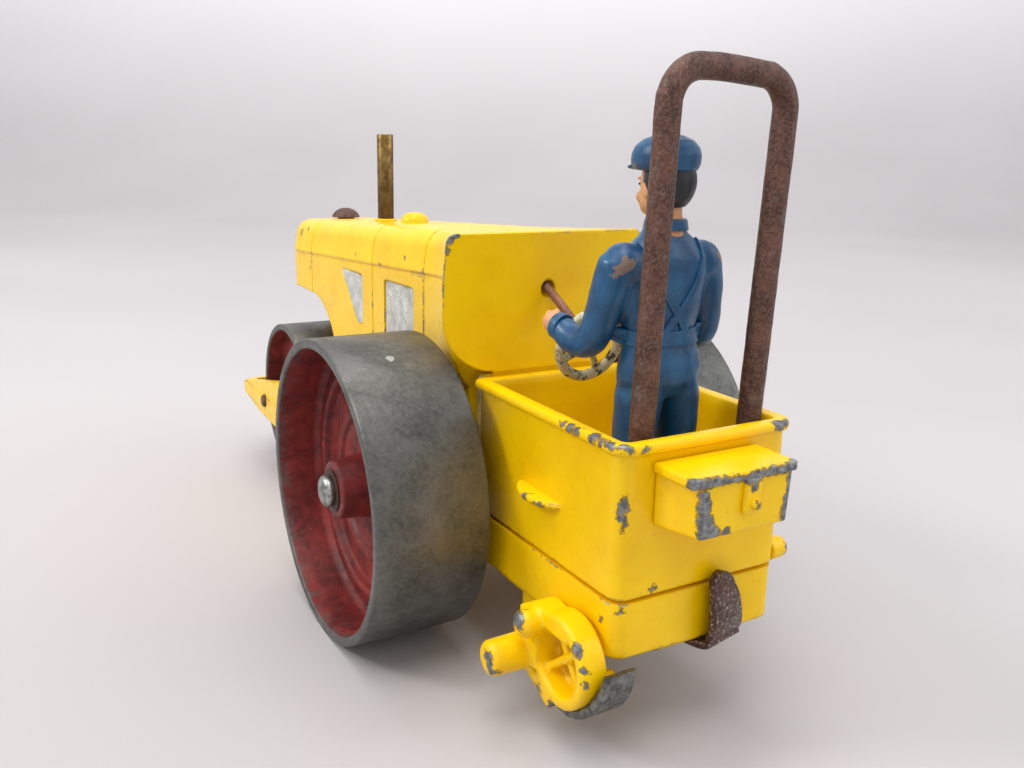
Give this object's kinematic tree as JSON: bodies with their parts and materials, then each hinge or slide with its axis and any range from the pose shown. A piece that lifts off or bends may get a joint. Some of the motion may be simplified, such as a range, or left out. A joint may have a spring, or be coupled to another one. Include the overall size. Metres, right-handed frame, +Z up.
{
  "type": "toy road roller",
  "caption": "Die-cast toy road roller with rear drums, a steered front roller in a yoke, engine hood, cab tub with standing driver, tow hook, scarifier and grab hoop.",
  "frame": {"origin": "on the ground, under the middle of the object's box", "axes": "+Z up, the front towards -Y, the driver's left towards +X, the length along Y"},
  "size_m": [0.0486, 0.112, 0.0632],
  "materials": {
    "yellow_paint": "chipped gloss enamel",
    "red_paint": "matt red paint inside, bare zinc tread",
    "bare_steel": "dull bare metal",
    "rusty_steel": "brown rust",
    "aged_brass": "tarnished",
    "silver_paint": "worn silver paint on a ribbed face",
    "cream_paint": "worn cream paint",
    "blue_paint": "satin figure paint"
  },
  "bodies": {
    "chassis": {"base": "yellow_paint", "engine_hood": "yellow_paint", "cab_tub": "yellow_paint", "toolbox": "yellow_paint", "scarifier": "yellow_paint", "ripper_blade": "bare_steel", "filler_cap": "yellow_paint", "exhaust_stack": "aged_brass", "king_pin": "rusty_steel", "rear_axle": "bare_steel", "front_rivet": "bare_steel", "rear_rivet": "bare_steel", "tow_hook": "rusty_steel", "grab_hoop": "rusty_steel", "steering_column": "rusty_steel", "steering_wheel": "cream_paint", "window_left_front": "silver_paint", "window_left_rear": "silver_paint", "window_right_front": "silver_paint", "window_right_rear": "silver_paint", "driver": "blue_paint"},
    "drum_left": {"rear_drum_left": "red_paint"},
    "drum_right": {"rear_drum_right": "red_paint"},
    "yoke": {"front_yoke": "yellow_paint", "front_axle": "rusty_steel"},
    "roller": {"front_roller": "red_paint"}
  },
  "joints": [
    {"name": "rear_drum_left_roll", "type": "hinge", "parent": "chassis", "child": "drum_left", "pos_m": [0.018, 0.0147, 0.01725], "axis": [1, 0, 0], "continuous": true},
    {"name": "rear_drum_right_roll", "type": "hinge", "parent": "chassis", "child": "drum_right", "pos_m": [-0.018, 0.0147, 0.01725], "axis": [1, 0, 0], "continuous": true},
    {"name": "steer", "type": "hinge", "parent": "chassis", "child": "yoke", "pos_m": [0, -0.0418, 0.027], "axis": [0, 0, 1], "range_deg": [-30, 30]},
    {"name": "front_roller_roll", "type": "hinge", "parent": "yoke", "child": "roller", "pos_m": [0, -0.0418, 0.0127], "axis": [1, 0, 0], "continuous": true}
  ]
}
